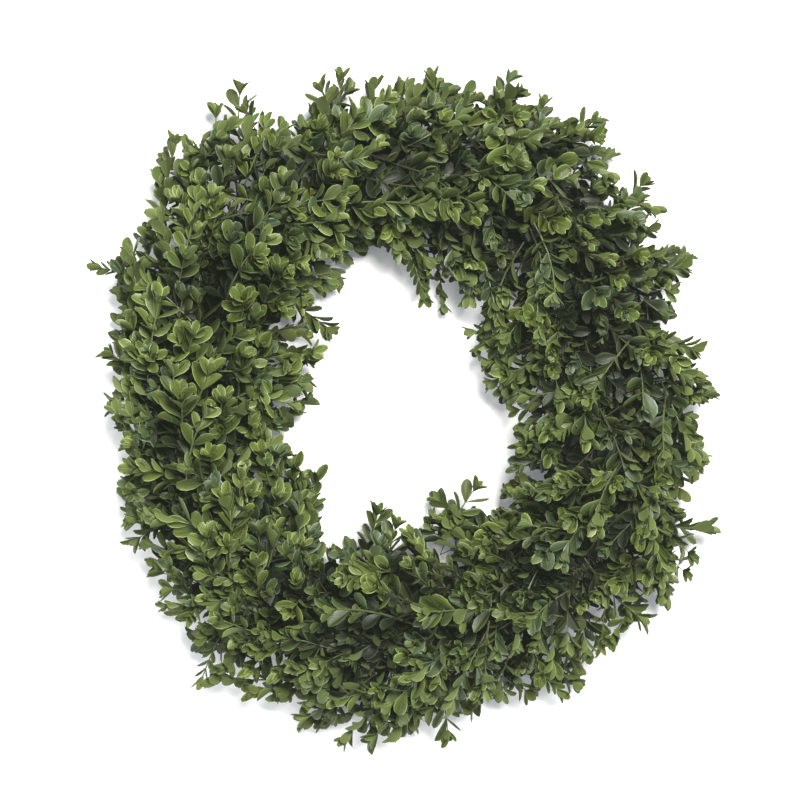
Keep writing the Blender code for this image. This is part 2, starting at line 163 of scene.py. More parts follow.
# The boxwood leaves. Each is a small, leathery spoon: a narrow stalk end, widest past its middle, with a
# round or slightly notched tip. It is folded along its midrib, dark and waxy above and pale below.

leaf_thickness = 0.00045
fold_curve, rib_notch = 0.8, 0.75
leaf_stations = ((0.0, 0.10), (0.22, 0.48), (0.46, 0.92), (0.69, 1.0), (0.89, 0.72), (1.0, 0.22))
young_stations = ((0.0, 0.14), (0.28, 0.64), (0.58, 1.0), (0.86, 0.82), (1.0, 0.34))
simple_stations = ((0.0, 0.14), (0.38, 0.74), (0.70, 1.0), (1.0, 0.32))


def choose(mesh, wanted):
    """Selects the corners of the mesh being edited that are wanted, by their number."""
    form = bmesh.from_edit_mesh(mesh)
    for corner in form.verts:
        corner.select = corner.index in wanted
    form.select_flush_mode()
    bmesh.update_edit_mesh(mesh)


def mark_growth(mesh, young, tone):
    """Notes how young a leaf or shoot is, its tone, and which of its faces are its pale underside."""
    marks = mesh.color_attributes.new(name="growth_and_shade", type="FLOAT_COLOR", domain="CORNER")
    values = np.zeros((len(mesh.loops), 4))
    values[:, 0] = young
    values[:, 1] = tone
    values[:, 3] = 1.0
    for face in mesh.polygons:
        if face.normal.z < 0:
            values[face.loop_start:face.loop_start + face.loop_total, 2] = 1.0
    marks.data.foreach_set("color", values.ravel())


def model_leaf(name, length, width, fold, curl, notch, stations, across):
    """A leaf along +X from its stalk, its upper side up. A station is how far along it is and how wide."""
    along = len(stations) - 1
    bpy.ops.mesh.primitive_grid_add(x_subdivisions=along, y_subdivisions=across, size=1,
                                    location=(0.5, 0, 0))
    bpy.ops.object.transform_apply(location=True)
    leaf = bpy.context.object
    leaf.name = name
    mesh = leaf.data
    columns = [[c.index for c in mesh.vertices if round(c.co.x * along) == k] for k in range(along + 1)]
    lines = {}
    for corner in mesh.vertices:
        lines.setdefault(round(abs(corner.co.y) * 2, 3), []).append(corner.index)
    rib = lines[0.0]
    bpy.ops.object.mode_set(mode="EDIT")
    bpy.ops.mesh.select_mode(type="VERT")
    for k, (reach, wide) in enumerate(stations):
        choose(mesh, columns[k])
        here = k / along
        bpy.ops.transform.resize(value=(1, wide * width, 1), center_override=(here, 0, 0))
        bpy.ops.transform.translate(value=(reach * length - here, 0, -curl * length * reach ** 2))
        sides = [index for index in columns[k] if index not in rib]
        for share, line in lines.items():
            edge = [index for index in sides if index in line]
            if edge:
                choose(mesh, edge)
                back = notch * length * (share ** 2 if k == along else 0)
                bpy.ops.transform.translate(value=(-back, 0, fold * wide * width * share ** fold_curve))
    choose(mesh, [index for index in columns[-1] if index in rib])
    bpy.ops.transform.translate(value=(-notch * length * rib_notch, 0, 0))
    bpy.ops.mesh.select_all(action="SELECT")
    bpy.ops.mesh.duplicate()
    bpy.ops.mesh.flip_normals()
    form = bmesh.from_edit_mesh(mesh)
    for corner in form.verts:
        corner.select = corner.select and not corner.is_boundary
    form.select_flush_mode()
    bmesh.update_edit_mesh(mesh)
    bpy.ops.transform.translate(value=(0, 0, -leaf_thickness))
    bpy.ops.mesh.select_all(action="SELECT")
    bpy.ops.mesh.remove_doubles(threshold=0.000001)
    bpy.ops.mesh.select_mode(type="EDGE")
    form = bmesh.from_edit_mesh(mesh)
    for edge in form.edges:
        first, second = (corner.co for corner in edge.verts)
        below = all(face.normal.z < 0 for face in edge.link_faces)
        on_rib = abs(first.y) + abs(second.y) < width * 0.02
        edge.select = below and not on_rib and abs(first.x - second.x) > abs(first.y - second.y) * 1.2
    bmesh.update_edit_mesh(mesh)
    bpy.ops.mesh.dissolve_edges(use_verts=True)
    bpy.ops.object.mode_set(mode="OBJECT")
    bpy.ops.object.shade_smooth_by_angle(angle=math.radians(60))
    mark_growth(mesh, 0.0, 0.5)
    return leaf


# Length, width, then the fold, the curl and the notch as shares of them
leaf_forms = {
    "broad": model_leaf("leaf_broad", 0.0232, 0.0120, 0.20, 0.16, 0.02, leaf_stations, 4),
    "cupped": model_leaf("leaf_cupped", 0.0220, 0.0106, 0.34, 0.06, 0.03, leaf_stations, 4),
    "long": model_leaf("leaf_long", 0.0240, 0.0098, 0.28, 0.18, 0.01, leaf_stations, 4),
    "arched": model_leaf("leaf_arched", 0.0218, 0.0108, -0.16, 0.22, 0.03, leaf_stations, 4),
    "young": model_leaf("leaf_young", 0.0138, 0.0074, 0.13, 0.06, -0.05, young_stations, 2),
    "bud": model_leaf("leaf_bud", 0.0082, 0.0042, 0.20, -0.05, -0.05, young_stations, 2),
    "inner": model_leaf("leaf_inner", 0.0205, 0.0098, 0.16, 0.14, 0.03, simple_stations, 2),
}

leaf_green = bpy.data.materials.new("boxwood_leaf")
leaf_green.use_nodes = True
nodes, links = leaf_green.node_tree.nodes, leaf_green.node_tree.links
wax = nodes["Principled BSDF"]
wax.inputs["Specular IOR Level"].default_value = 0.23
growth_and_shade = nodes.new("ShaderNodeAttribute")
growth_and_shade.attribute_name = "growth_and_shade"
parts = nodes.new("ShaderNodeSeparateColor")
links.new(growth_and_shade.outputs["Color"], parts.inputs["Color"])
leaf_map = nodes.new("ShaderNodeUVMap")
leaf_map.uv_map = "UVMap"
along_across = nodes.new("ShaderNodeSeparateXYZ")
links.new(leaf_map.outputs["UV"], along_across.inputs["Vector"])


def reckon(operation, first, second=0.0):
    """A sum or the like of two sockets, or of a socket and a number."""
    node = nodes.new("ShaderNodeMath")
    node.operation = operation
    for socket, value in zip(node.inputs, (first, second)):
        if isinstance(value, (int, float)):
            socket.default_value = value
        else:
            links.new(value, socket)
    return node.outputs["Value"]


def blend_colours(share, first, second, how="MIX"):
    """Two colours mixed by a share. Each of the three is a socket, or a value."""
    node = nodes.new("ShaderNodeMix")
    node.data_type = "RGBA"
    node.blend_type = how
    for socket, value in ((node.inputs[0], share), (node.inputs[6], first), (node.inputs[7], second)):
        if isinstance(value, (int, float, tuple)):
            socket.default_value = value
        else:
            links.new(value, socket)
    return node.outputs[2]


def step_between(value, low_end, high_end):
    """0 below the low end and 1 above the high end, with a soft step between."""
    node = nodes.new("ShaderNodeMapRange")
    node.interpolation_type = "SMOOTHSTEP"
    node.inputs["From Min"].default_value = low_end
    node.inputs["From Max"].default_value = high_end
    links.new(value, node.inputs["Value"])
    return node.outputs["Result"]


# The leaves' colour by age, from old and dark to young and bright. Its dark end also carries the painted
# shade given to deep leaves and to those at the foot of the wreath.
age_and_shade_ramp = nodes.new("ShaderNodeValToRGB")
age_and_shade_ramp.color_ramp.elements[0].position = 0.0
age_and_shade_ramp.color_ramp.elements[0].color = (0.009, 0.013, 0.006, 1)
age_and_shade_ramp.color_ramp.elements[1].position = 1.0
age_and_shade_ramp.color_ramp.elements[1].color = (0.186, 0.246, 0.074, 1)
for position, colour in ((0.16, (0.023, 0.036, 0.010, 1)), (0.45, (0.078, 0.109, 0.023, 1))):
    age_and_shade_ramp.color_ramp.elements.new(position).color = colour
links.new(parts.outputs["Red"], age_and_shade_ramp.inputs["Fac"])
in_the_light = step_between(parts.outputs["Red"], 0.08, 0.26)
grey_share = reckon("MULTIPLY", step_between(parts.outputs["Green"], 0.28, 0.0), in_the_light)
grey_green = blend_colours(grey_share, age_and_shade_ramp.outputs["Color"], (0.054, 0.080, 0.036, 1))
fresh_share = reckon("MULTIPLY", step_between(parts.outputs["Green"], 0.55, 1.0), 0.6)
fresh_green = blend_colours(fresh_share, grey_green, (0.094, 0.126, 0.022, 1))
from_rib = reckon("ABSOLUTE", reckon("SUBTRACT", along_across.outputs["Y"], 0.5))
rib = reckon("SUBTRACT", 1.0, step_between(from_rib, 0.012, 0.045))
# Painted highlight: a thin light, bluish-white line along each leaf's edge, as if its curled-back margin
# caught the light.
rim_highlight = step_between(from_rib, 0.41, 0.47)
# Painted shade and sheen: each half of a leaf is darker near the sunk midrib, and lighter and bluer towards
# its edge.
to_rim = step_between(from_rib, 0.04, 0.44)
crease_shade_and_rim_sheen = blend_colours(to_rim, (0.72, 0.73, 0.70, 1), (1.20, 1.18, 1.32, 1))
shaded_halves = blend_colours(1.0, fresh_green, crease_shade_and_rim_sheen, "MULTIPLY")
with_rib = blend_colours(rib, shaded_halves, (1.80, 1.72, 2.00, 1), "MULTIPLY")
with_rim_highlight = blend_colours(rim_highlight, with_rib, (2.60, 2.42, 4.00, 1), "MULTIPLY")
mottle = nodes.new("ShaderNodeTexNoise")
where = nodes.new("ShaderNodeTexCoord")
mottle.inputs["Scale"].default_value = 140.0
mottle.inputs["Detail"].default_value = 3.0
links.new(where.outputs["Object"], mottle.inputs["Vector"])
blotches = blend_colours(mottle.outputs["Fac"], (0.55, 0.6, 0.55, 1), (1.5, 1.4, 1.4, 1))
mottled = blend_colours(0.5, with_rim_highlight, blotches, "MULTIPLY")
underside = parts.outputs["Blue"]
pale_below = blend_colours(reckon("MULTIPLY", underside, 0.50), mottled, (0.105, 0.138, 0.042, 1))
links.new(pale_below, wax.inputs["Base Color"])
vein_slant, veins_along, vein_height = -0.7, 85.0, 0.12
vein_run = reckon("ADD", along_across.outputs["X"], reckon("MULTIPLY", from_rib, vein_slant))
veins = reckon("SINE", reckon("MULTIPLY", vein_run, veins_along))
relief = reckon("SUBTRACT", reckon("MULTIPLY", veins, vein_height), rib)
vein_bump = nodes.new("ShaderNodeBump")
vein_bump.inputs["Strength"].default_value = 0.5
vein_bump.inputs["Distance"].default_value = 0.0004
links.new(relief, vein_bump.inputs["Height"])
links.new(vein_bump.outputs["Normal"], wax.inputs["Normal"])
above_roughness, more_below = 0.40, 0.25
links.new(reckon("ADD", reckon("MULTIPLY", underside, more_below), above_roughness), wax.inputs["Roughness"])
for form in leaf_forms.values():
    form.data.materials.append(leaf_green)

# The shoots and twigs. A young shoot is green and square, and turns to brown, finely cracked bark where it
# comes out of older wood. The same stuff runs from the cut ends at a tie to every leafy tip.

bark = bpy.data.materials.new("boxwood_shoot")
bark.use_nodes = True
nodes, links = bark.node_tree.nodes, bark.node_tree.links
rind = nodes["Principled BSDF"]
rind.inputs["Roughness"].default_value = 0.6
growth_and_shade = nodes.new("ShaderNodeAttribute")
growth_and_shade.attribute_name = "growth_and_shade"
parts = nodes.new("ShaderNodeSeparateColor")
links.new(growth_and_shade.outputs["Color"], parts.inputs["Color"])
cracks = nodes.new("ShaderNodeTexNoise")
where = nodes.new("ShaderNodeTexCoord")
cracks.inputs["Scale"].default_value = 420.0
cracks.inputs["Detail"].default_value = 5.0
links.new(where.outputs["Object"], cracks.inputs["Vector"])
wood = blend_colours(cracks.outputs["Fac"], (0.019, 0.018, 0.009, 1), (0.054, 0.052, 0.026, 1))
green = blend_colours(cracks.outputs["Fac"], (0.055, 0.078, 0.022, 1), (0.115, 0.140, 0.048, 1))
greened = blend_colours(step_between(parts.outputs["Red"], 0.10, 0.45), wood, green)
links.new(greened, rind.inputs["Base Color"])
crack_bump = nodes.new("ShaderNodeBump")
crack_bump.inputs["Strength"].default_value = 0.5
crack_bump.inputs["Distance"].default_value = 0.0003
links.new(cracks.outputs["Fac"], crack_bump.inputs["Height"])
links.new(crack_bump.outputs["Normal"], rind.inputs["Normal"])

# The sprigs. A shoot of one or two years carries its leaves in pairs, each pair across the one before, and
# ends in a tuft of small bright ones. Where it lies along the wreath, its leaves turn their faces up.

sprig_stem, side_shoot_stem, side_shoot_lengths = 0.0018, 0.0012, (0.011, 0.017)
foot_at = 0.55
top_pair_sizes, leaf_sizes = (1.0, 0.95, 0.78), (0.80, 1.12)
pair_tips_deg = (-20, 32)
spin_unrest_deg, tip_unrest_deg, open_unrest_deg = 12, 14, 9
face_unrest, tone_unrest, age_unrest = 0.46, 0.16, 0.08
pair_age, younger_up, tuft_ages = 0.26, 0.17, (0.46, 0.62)
tuft_leaves, tuft_open_deg = 4, (27, 13)
shoot_out, shoot_open_deg = 0.75, (44, 32, 15)
bud_reach = 0.011


def copy_of(piece, matrix):
    """A copy with its own mesh, set in place."""
    copy = piece.copy()
    copy.data = piece.data.copy()
    copy.data.transform(matrix)
    bpy.context.scene.collection.objects.link(copy)
    return copy


def retone(mesh, young, tone):
    """Makes leaves younger or older, or darkens them with painted shade, and shifts their tone, by one number
    or by one for each corner.
    """
    marks = mesh.color_attributes["growth_and_shade"]
    values = np.empty(len(mesh.loops) * 4)
    marks.data.foreach_get("color", values)
    values = values.reshape(-1, 4)
    values[:, 0] = np.clip(values[:, 0] + young, 0, 1)
    values[:, 1] = np.clip(values[:, 1] + tone, 0, 1)
    marks.data.foreach_set("color", values.ravel())


def turn_to(along, up):
    """The turn that takes +X to along and +Z as near to up as it goes."""
    along = along.normalized()
    up = (up - along * up.dot(along)).normalized()
    return Matrix((along, up.cross(along), up)).transposed().to_4x4()


def grow_sprig(name, joints, spacing, bend, sway, lying, forms, spread_deg, tuft, side_shoots=()):
    """A sprig from the origin along +X, bent up and to a side, and the place of its tip."""
    length = (joints - foot_at) * spacing

    def on_stem(share):
        x = share * length
        return Vector((x, sway * x * share, bend * x * share))

    stem = bend_wires("stem", [[on_stem(k / 3) for k in range(4)]], sprig_stem, 4, taper=0.55, smooth=False)
    stem.data.materials.append(bark)
    mark_growth(stem.data, 0.60, 0.5)
    grown = [stem]

    def set_leaf(form, root, ahead, out, open_by, size, young, up_share):
        along = ahead * math.cos(open_by) + out * math.sin(open_by)
        upper = ahead * math.sin(open_by) - out * math.cos(open_by)
        upper = upper * (1 - up_share) + Vector((0, 0, 1)) * up_share
        upper = upper + Vector([draw.uniform(-face_unrest, face_unrest) for axis in range(3)])
        place = Matrix.Translation(root) @ turn_to(along, upper) @ Matrix.Scale(size, 4)
        leaf = copy_of(leaf_forms[form], place)
        retone(leaf.data, young, draw.uniform(-tone_unrest, tone_unrest))
        grown.append(leaf)

    for joint in range(1, joints + 1):
        share = (joint - foot_at) / (joints - foot_at)
        root = on_stem(share)
        ahead = (on_stem(share + 0.05) - on_stem(share - 0.05)).normalized()
        size = top_pair_sizes[max(0, joint - joints + 2)]
        spin = math.radians(90 * joint + draw.uniform(-spin_unrest_deg, spin_unrest_deg))
        for side in (0, 1):
            turned = spin + side * math.pi
            if lying > 0:
                tipped = pair_tips_deg[joint % 2] * (1 - 2 * side)
                turned = math.radians(180 * side + tipped + draw.uniform(-tip_unrest_deg, tip_unrest_deg))
            out = Vector((0, math.cos(turned), math.sin(turned)))
            out = (out - ahead * out.dot(ahead)).normalized()
            open_deg = spread_deg * (1.1 - 0.45 * share)
            open_by = math.radians(open_deg + draw.uniform(-open_unrest_deg, open_unrest_deg))
            set_leaf(draw.choice(forms), root, ahead, out, open_by, size * draw.uniform(*leaf_sizes),
                     pair_age + younger_up * share ** 2 + draw.uniform(-age_unrest, age_unrest), lying)
            if joint in side_shoots:
                way = ahead * math.cos(shoot_out) + out * math.sin(shoot_out)
                reach = draw.uniform(*side_shoot_lengths)
                shoot = bend_wires("side_shoot", [[root, root + way * reach]], side_shoot_stem, 4, taper=0.7,
                                   smooth=False)
                shoot.data.materials.append(bark)
                mark_growth(shoot.data, 0.7, 0.5)
                grown.append(shoot)
                across = Vector((0, math.cos(turned), math.sin(turned))).cross(way)
                for k in range(8):
                    round_shoot = Matrix.Rotation(math.radians(90 * k + 45 * (k // 4)), 3, way)
                    off = (round_shoot @ across).normalized()
                    up_stem = 0.5 if k < 2 else 1.0
                    opening = math.radians(shoot_open_deg[min(2, k // 3)] + draw.uniform(-8, 8))
                    set_leaf("young" if k < 5 else "bud", root + way * reach * up_stem, way, off, opening,
                             draw.uniform(0.8, 1.1), 0.42 + 0.03 * k, lying * 0.6)
    ahead = (on_stem(1.0) - on_stem(0.9)).normalized()
    for k in range(tuft):
        round_tip = 90 * (k % 2) + 180 * (k // 2 % 2) + 45 * (k // 4)
        turned = math.radians(round_tip + draw.uniform(-spin_unrest_deg, spin_unrest_deg))
        out = Vector((0, math.cos(turned), math.sin(turned)))
        out = (out - ahead * out.dot(ahead)).normalized()
        small = k >= tuft_leaves
        open_by = math.radians(tuft_open_deg[small] + draw.uniform(-7, 7))
        set_leaf("bud" if small else "young", on_stem(1.0), ahead, out, open_by, draw.uniform(0.85, 1.2),
                 tuft_ages[small] + draw.uniform(-age_unrest, age_unrest), lying * 0.4)
    return join_pieces(name, grown), on_stem(1.0) + ahead * bud_reach


outer_forms = ("broad", "cupped", "long", "arched")

# Joints, their spacing, bend and sway, how far the leaves open in degrees, leaves in the tuft, and the joints
# with side shoots. The last two kinds have fewer of these.
lying_kinds = ((6, 0.0104, 0.10, 0.12, 40, 6, ()), (5, 0.0128, 0.06, -0.16, 46, 4, (1,)),
               (7, 0.0094, 0.14, -0.10, 36, 6, ()), (5, 0.0122, -0.05, 0.18, 44, 4, ()),
               (6, 0.0108, 0.16, 0.05, 38, 6, (2,)), (5, 0.0136, 0.08, -0.22, 48, 4, ()),
               (6, 0.0098, 0.05, 0.22, 34, 6, (1,)))
standing_kinds = ((6, 0.0096, 0.03, 0.10, 38, 6, ()), (6, 0.0104, 0.12, -0.14, 36, 6, ()),
                  (5, 0.0116, 0.0, 0.16, 42, 6, (2,)), (6, 0.0092, 0.08, -0.06, 40, 6, ()),
                  (5, 0.0112, 0.14, 0.0, 42, 4, (1,)))
fine_kinds = ((7, 0.0078, 0.10, 42), (6, 0.0085, -0.06, 46), (8, 0.0072, 0.14, 38))
inner_kinds = ((6, 0.0090), (6, 0.0096), (5, 0.0104))
lying_sprigs = [grow_sprig(f"lying_{k}", joints, spacing, bend, sway, 0.40, outer_forms, *leafing)
                for k, (joints, spacing, bend, sway, *leafing) in enumerate(lying_kinds)]
standing_sprigs = [grow_sprig(f"standing_{k}", joints, spacing, bend, sway, 0.12, outer_forms, *leafing)
                   for k, (joints, spacing, bend, sway, *leafing) in enumerate(standing_kinds)]
fine_sprigs = [grow_sprig(f"fine_{k}", joints, spacing, bend, 0.1, 0.5, ("young",), spread, 4)
               for k, (joints, spacing, bend, spread) in enumerate(fine_kinds)]
inner_sprigs = [grow_sprig(f"inner_{k}", joints, spacing, 0.1, 0.1, 0.5, ("inner",), 56, 0)
                for k, (joints, spacing) in enumerate(inner_kinds)]

# The bunches. At each of fifteen ties three bunches lie side by side, like shingles: one hangs over the
# outer edge, one covers the face and one turns into the hole. Each covers the stems of the one before it.

outer_mean, hole_mean = 0.2935, 0.108

# A wave is its count round the ring, its height and its crest. A swell or a lobe is its middle, its height
# and its spread, and a hollow its middle, distance and radius. Angles are in degrees.
outer_waves = ((2, 0.0150, 97), (4, 0.0076, 55))
hole_waves = ((1, 0.0045, 178), (2, 0.0140, 98), (3, 0.0115, 101))
outer_swells = ((50, 0.003, 12), (86, -0.006, 14), (128, 0.006, 16), (168, -0.004, 15), (228, -0.003, 12),
                (267, 0.006, 15), (306, -0.006, 15), (349, 0.004, 15))
hole_swells = ((14, -0.009, 13), (46, 0.014, 12), (78, -0.012, 13), (114, 0.008, 16), (155, -0.005, 15),
               (188, 0.005, 13), (218, -0.006, 12), (245, 0.007, 12), (276, -0.008, 13), (308, 0.005, 15),
               (342, 0.002, 10))
outer_lobes = (
    (4, 0.010, 3), (15, -0.028, 7), (24, 0.018, 5), (46, -0.011, 5), (56, 0.006, 4),
    (61, -0.003, 4), (71, 0.009, 4), (104, 0.006, 4), (110, -0.030, 5), (124, 0.016, 9),
    (140, 0.007, 4), (146, -0.016, 5), (162, -0.012, 6), (173, -0.024, 5), (190, -0.014, 6),
    (211, -0.010, 8), (220, 0.006, 4), (225, -0.011, 4), (238, 0.007, 5), (245, -0.011, 4),
    (262, 0.011, 6), (276, -0.022, 5), (289, -0.016, 5), (307, 0.009, 4), (313, -0.016, 4),
    (329, 0.013, 6), (342, -0.022, 5), (355, -0.014, 5))
hole_lobes = (
    (0, -0.005, 5), (20, 0.009, 6), (30, -0.034, 5), (47, 0.010, 4), (60, 0.007, 4),
    (71, -0.014, 6), (86, 0.029, 5), (99, 0.012, 10), (111, 0.005, 4), (119, -0.013, 5),
    (135, 0.008, 5), (148, -0.015, 5), (157, 0.009, 4), (173, -0.014, 7), (192, 0.008, 10),
    (204, 0.020, 4), (225, -0.010, 5), (240, 0.025, 9), (254, 0.022, 4), (268, -0.016, 5),
    (276, 0.026, 6), (286, -0.012, 5), (297, 0.021, 6), (310, 0.018, 5), (323, 0.008, 6),
    (333, -0.018, 4), (341, -0.016, 6))
hollows = (
    (148, 0.205, 0.026), (188, 0.205, 0.028), (161, 0.173, 0.020), (93, 0.188, 0.024),
    (56, 0.180, 0.022), (44, 0.185, 0.026), (34, 0.206, 0.024), (15, 0.172, 0.028),
    (355, 0.190, 0.024), (316, 0.231, 0.022), (300, 0.184, 0.022), (278, 0.164, 0.020),
    (263, 0.190, 0.024))
face_height = 0.112
axis_height = 0.0165


def edge_reach(angle, mean, waves, lobes):
    """How far from the middle an edge lies: waves round the ring, and lobes of a clump or a gap each."""
    reach = mean + sum(high * math.cos(count * (angle - math.radians(crest)))
                       for count, high, crest in waves)
    for crest, high, spread in lobes:
        off = (math.degrees(angle) - crest + 180) % 360 - 180
        reach += high * math.exp(-(off / spread) ** 2)
    return reach


def leaf_reach(angle, turn):
    """How far the foliage reaches round the ring's section: half an oval outwards and half one inwards."""
    if math.cos(turn) > 0:
        half_width = edge_reach(angle, outer_mean, outer_waves, outer_swells + outer_lobes) - frame_radius
    else:
        half_width = frame_radius - edge_reach(angle, hole_mean, hole_waves, hole_swells + hole_lobes)
    half_height = face_height - axis_height
    return ((math.cos(turn) / half_width) ** 2 + (math.sin(turn) / half_height) ** 2) ** -0.5


def on_section(angle, turn, reach):
    """A place in the ring's section, by its turn round the section's middle and its distance from it."""
    return at(angle, reach * math.cos(turn), axis_height + reach * math.sin(turn))


def hollow_share(place):
    """How far a place lies inside a hollow, where the bunches leave the older wood bare."""
    deepest = 0.0
    for angle_deg, reach, radius in hollows:
        off = place - at(math.radians(angle_deg), reach - frame_radius, place.z)
        deepest = max(deepest, 1 - (off.length / radius) ** 2)
    return deepest


rows = {
    "outer": {"turns": (-14, 62), "across": 4, "along": 5, "depths": (0.82, 1.06), "deep": 14,
              "stem": (0.0255, 0.0194)},
    "face": {"turns": (60, 120), "across": 3, "along": 4, "depths": (0.72, 1.05), "deep": 14,
             "stem": (0.0, 0.0226)},
    "inner": {"turns": (118, 194), "across": 3, "along": 5, "depths": (0.80, 1.08), "deep": 11,
              "stem": (-0.0255, 0.0194)},
}

# Of a tie's share of the ring: where a bunch's stems end, and how far on it its leaves start and reach
stem_end, leaves_start, leaves_run, deep_run = 0.75, 0.45, 1.15, 1.1
stem_rise, stem_gap, stem_stray, tail_lengths = 0.008, 0.0022, 0.004, (0.10, 0.17)
twig_thick, stem_thick, twig_age, stem_age = 0.0019, 0.0030, 0.32, 0.12
twig_sag, twig_bend, twig_lowest = 0.004, 0.012, 0.003
deep_turns_deg, deep_depths = (12, 168), (0.36, 0.70)

# How dark and how fresh the leaves of a sprig are: lighter towards one side of the ring, darker at the foot
# of the wreath as painted shade, and darker deep inside as painted shade over their older colour
mean_tone, tone_swing, lightest_at_deg, tone_spread = 0.005, 0.06, 190, 0.07
foot_shade, foot_height, deep_shade_tone, deep_shade_darker = 0.14, 2.5, -0.14, 0.6
freshness, deep_freshness = (-0.45, 0.40), (-0.1, 0.1)
kinds, kind_shares = ("lying", "standing", "fine"), (58, 32, 10)
sprigs_by_kind = {"lying": lying_sprigs, "standing": standing_sprigs, "fine": fine_sprigs}

# Single shoots that stand out: the tip's angle and distance, which way it points, its height, its kind
single_shoots = (
    (156.4, 0.31, 160, 0.045, "fine"), (117.1, 0.324, 100, 0.050, "full"),
    (100.8, 0.307, 80, 0.045, "fine"), (85.5, 0.299, 95, 0.060, "fine"),
    (65.4, 0.305, 65, 0.045, "fine"), (55.8, 0.3135, 25, 0.050, "full"),
    (42.8, 0.302, 35, 0.040, "full"), (25.8, 0.286, 20, 0.060, "full"),
    (10.2, 0.271, 0, 0.065, "full"), (1.8, 0.285, -4, 0.040, "fine"),
    (-22.0, 0.305, -20, 0.035, "full"), (-58.0, 0.304, -40, 0.040, "full"),
    (-82.4, 0.309, -85, 0.045, "full"), (-95.7, 0.309, -100, 0.040, "fine"),
    (-125.8, 0.3185, -120, 0.040, "fine"), (169.9, 0.2735, 150, 0.055, "full"),
    (-152.6, 0.278, -160, 0.045, "full"), (134.6, 0.0885, -25, 0.050, "full"),
    (48.5, 0.084, 180, 0.045, "fine"), (77.2, 0.093, -80, 0.050, "fine"),
    (-46.5, 0.099, 70, 0.050, "full"), (-103.0, 0.095, 80, 0.045, "full"),
    (-157.6, 0.111, 10, 0.050, "fine"), (130.0, 0.298, 140, 0.060, "full"),
    (72.8, 0.293, 85, 0.050, "full"), (35.4, 0.264, 60, 0.045, "fine"),
    (-91.3, 0.288, -100, 0.040, "full"), (-103.0, 0.299, -110, 0.040, "full"),
    (-66.5, 0.292, -60, 0.045, "full"), (-61.2, 0.305, -50, 0.040, "fine"),
    (-24.3, 0.124, 205, 0.045, "full"), (10.6, 0.113, 190, 0.045, "fine"),
    (31.0, 0.098, 200, 0.055, "full"), (-93.0, 0.105, 90, 0.050, "full"),
    (-97.0, 0.118, 80, 0.060, "full"), (92.0, 0.132, -95, 0.060, "full"),
    (105.0, 0.298, 100, 0.060, "full"), (151.0, 0.27, 140, 0.055, "full"),
    (-142.0, 0.277, -145, 0.050, "full"), (-123.0, 0.291, -125, 0.050, "full"),
    (-119.0, 0.281, -118, 0.050, "full"), (-112.0, 0.289, -115, 0.045, "full"),
    (71.0, 0.288, 70, 0.050, "full"), (-51.0, 0.282, -50, 0.050, "full"),
    (22.5, 0.265, 15, 0.055, "full"), (118.6, 0.306, 112, 0.055, "full"),
    (26.0, 0.079, 215, 0.050, "full"), (34.0, 0.09, 200, 0.050, "full"),
    (-33.0, 0.289, -30, 0.050, "full"), (-98.0, 0.262, -100, 0.055, "full"))

# How a sprig is laid: its size swings round the ring, and it rises more towards the edges
sprig_sizes, mean_size, size_swing, largest_at_deg = (0.80, 1.14), 1.02, 0.06, 150
# The single shoots are a little darker than the rest: painted shade at the wreath's edges.
single_size, single_shade_tone, single_rise = 0.95, (-0.06, 0.0), 0.12
side_spread_deg, sprig_roll, base_within = 38, 0.4, 0.82
rise_deg, edge_rise_deg, stand_up_deg = (-2, 24), (26, 38), 36
hollow_depth, bare_share, bare_above = 0.40, 0.4, 0.74
looked_at, tries = (0.35, 0.7), 8
table_clearance = 0.0015


def depth_of(place):
    """How deep a place lies: 0 at the middle of the ring's section and 1 at the foliage's edge."""
    off = place - frame_middle
    angle = math.atan2(off.y, off.x)
    offset, height = math.hypot(off.x, off.y) - frame_radius, off.z - axis_height
    return math.hypot(offset, height) / leaf_reach(angle, math.atan2(height, offset))


def lay_sprig(sprig, reach, tip, along, up, size, tone, base_limit=math.inf):
    """A copy of the sprig that ends at the tip, its base and its direction. There is none where its base is
    less deep than the limit, or a leaf too near the table."""
    turn = turn_to(along, up) @ Matrix.Rotation(draw.uniform(-sprig_roll, sprig_roll), 4, "X")
    base = tip - turn @ (reach * size)
    if depth_of(base) > base_limit:
        return None
    copy = copy_of(sprig, Matrix.Translation(base) @ turn @ Matrix.Scale(size, 4))
    if min(corner.co.z for corner in copy.data.vertices) < table_clearance:
        bpy.data.objects.remove(copy)
        return None
    retone(copy.data, *tone)
    return copy, base, along


def age_and_shade_by_depth(mesh):
    """The deeper a leaf sits in the bunch, the darker it is made: painted shade of the inner foliage, on top
    of its older colour.
    """
    age_and_shade, unshaded_above = 1.5, 0.90
    depths = np.array([depth_of(corner.co) for corner in mesh.vertices])
    corners = np.empty(len(mesh.loops), dtype=np.int32)
    mesh.loops.foreach_get("vertex_index", corners)
    retone(mesh, -age_and_shade * np.clip(unshaded_above - depths[corners], 0, 1), 0.0)


